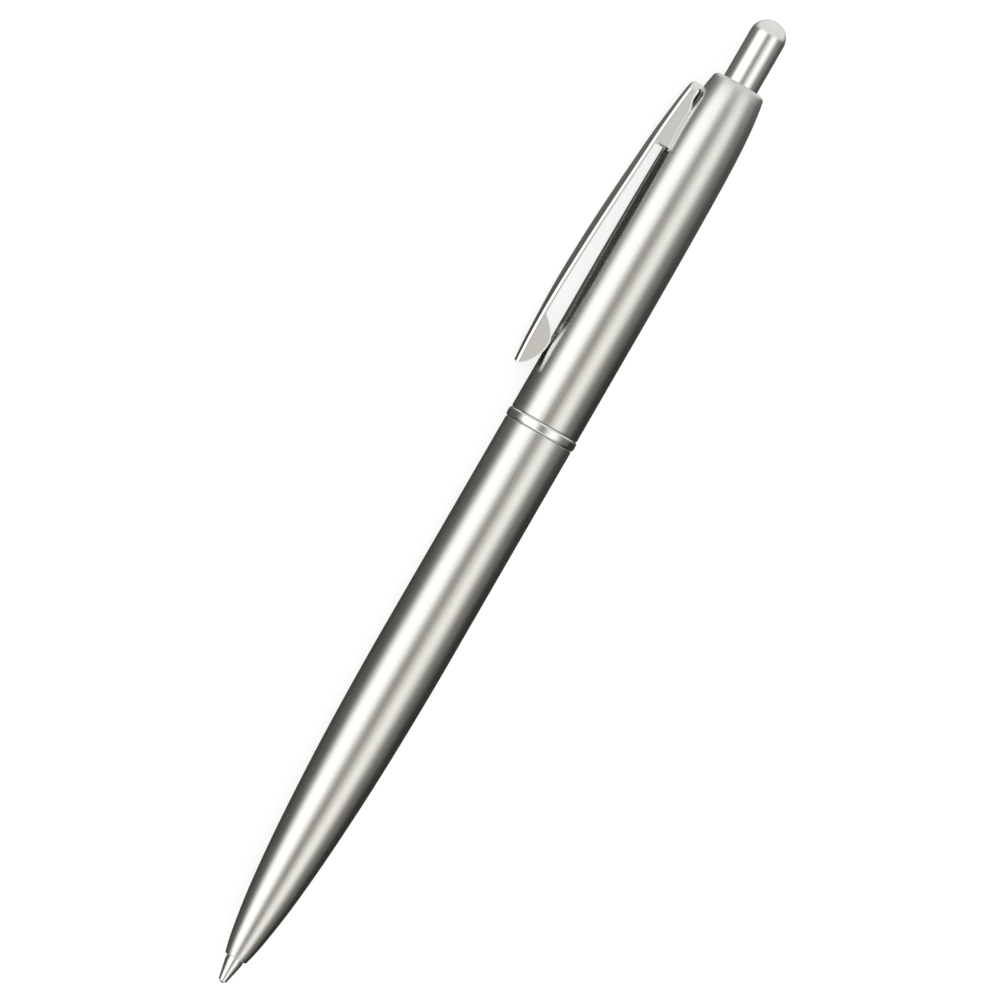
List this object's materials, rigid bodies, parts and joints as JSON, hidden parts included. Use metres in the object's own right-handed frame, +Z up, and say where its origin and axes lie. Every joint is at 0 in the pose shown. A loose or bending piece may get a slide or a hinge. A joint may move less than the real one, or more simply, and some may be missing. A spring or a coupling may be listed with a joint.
{
  "type": "ballpoint pen",
  "caption": "Stainless steel click ballpoint pen with brushed barrels, a polished centre ring, spring clip and push button, and a replaceable refill.",
  "frame": {"origin": "on the pen's axis, in the middle of the straight cylindrical grip stretch of the lower barrel", "axes": "+X along the pen's axis towards the writing point, -X towards the push button, +Z up from the table that the pen lies on, the clip on the -Y side and turned 20.9 degrees down to the table"},
  "size_m": [0.1408, 0.0127, 0.0098],
  "materials": {
    "brushed_barrel": "stainless steel, brushed along its length to a satin",
    "polished_ring": "polished stainless steel",
    "polished_clip": "polished stainless spring steel, folded from sheet",
    "polished_button": "polished stainless steel, drawn",
    "brass_parts": "turned brass, bright",
    "spring_wire": "drawn spring wire, bright",
    "housing_plastic": "moulded acetal, natural white, slightly waxy",
    "plunger_plastic": "moulded acetal, black",
    "rotor_plastic": "moulded acetal, off-white",
    "refill_steel": "drawn steel tube, nickel plated, satin",
    "point_steel": "turned stainless steel, fine turning marks",
    "ball_carbide": "ground tungsten carbide, dark and glossy, filmed with ink",
    "ink": "thick blue-black ink paste",
    "follower_grease": "clear grease",
    "tail_plastic": "moulded polypropylene, black"
  },
  "bodies": {
    "lower_body": {"lower_barrel": "brushed_barrel", "nose_bush": "brass_parts", "threaded_coupler": "brass_parts", "return_spring": "spring_wire"},
    "ring_body": {"centre_ring": "polished_ring"},
    "upper_body": {"upper_barrel": "brushed_barrel", "threaded_bush": "brass_parts", "cam_housing": "housing_plastic", "housing_collar": "housing_plastic"},
    "clip_body": {"clip": "polished_clip"},
    "button_body": {"push_button": "polished_button", "plunger": "plunger_plastic"},
    "rotor_body": {"rotor": "rotor_plastic"},
    "refill_body": {"refill_tube": "refill_steel", "point_holder": "brass_parts", "writing_point": "point_steel", "ink_column": "ink", "ink_follower": "follower_grease", "tail_plug": "tail_plastic"},
    "ball_body": {"tip_ball": "ball_carbide"}
  },
  "joints": [
    {"name": "ring_rise", "type": "slide", "parent": "lower_body", "child": "ring_body", "axis": [-1, 0, 0], "range_m": [0, 0.00375]},
    {"name": "barrel_unscrew", "type": "hinge", "parent": "ring_body", "child": "upper_body", "pos_m": [-0.01685, 0, 0], "axis": [-1, 0, 0], "range_deg": [0, 1805]},
    {"name": "clip_flex", "type": "hinge", "parent": "upper_body", "child": "clip_body", "pos_m": [-0.06065, -0.00404, -0.00154], "axis": [0, 0.3567, -0.9342], "range_deg": [0, 3], "stiffness_Nm_per_rad": 1.5},
    {"name": "button_slide", "type": "slide", "parent": "upper_body", "child": "button_body", "axis": [-1, 0, 0], "range_m": [-0.0013, 0.005], "stiffness_N_per_m": 300},
    {"name": "rotor_turn", "type": "hinge", "parent": "button_body", "child": "rotor_body", "pos_m": [-0.04, 0, 0], "axis": [-1, 0, 0], "continuous": true},
    {"name": "refill_slide", "type": "slide", "parent": "lower_body", "child": "refill_body", "axis": [-1, 0, 0], "range_m": [-0.0013, 0.005], "deforming": ["return_spring"]},
    {"name": "ball_roll", "type": "hinge", "parent": "refill_body", "child": "ball_body", "pos_m": [0.0647, 0, 0], "axis": [0, 1, 0], "continuous": true}
  ],
  "couplings": [
    {"joint": "barrel_unscrew", "follows": "ring_rise", "rad_per_m": 8377.6},
    {"joint": "refill_slide", "follows": "button_slide", "ratio": 1}
  ]
}
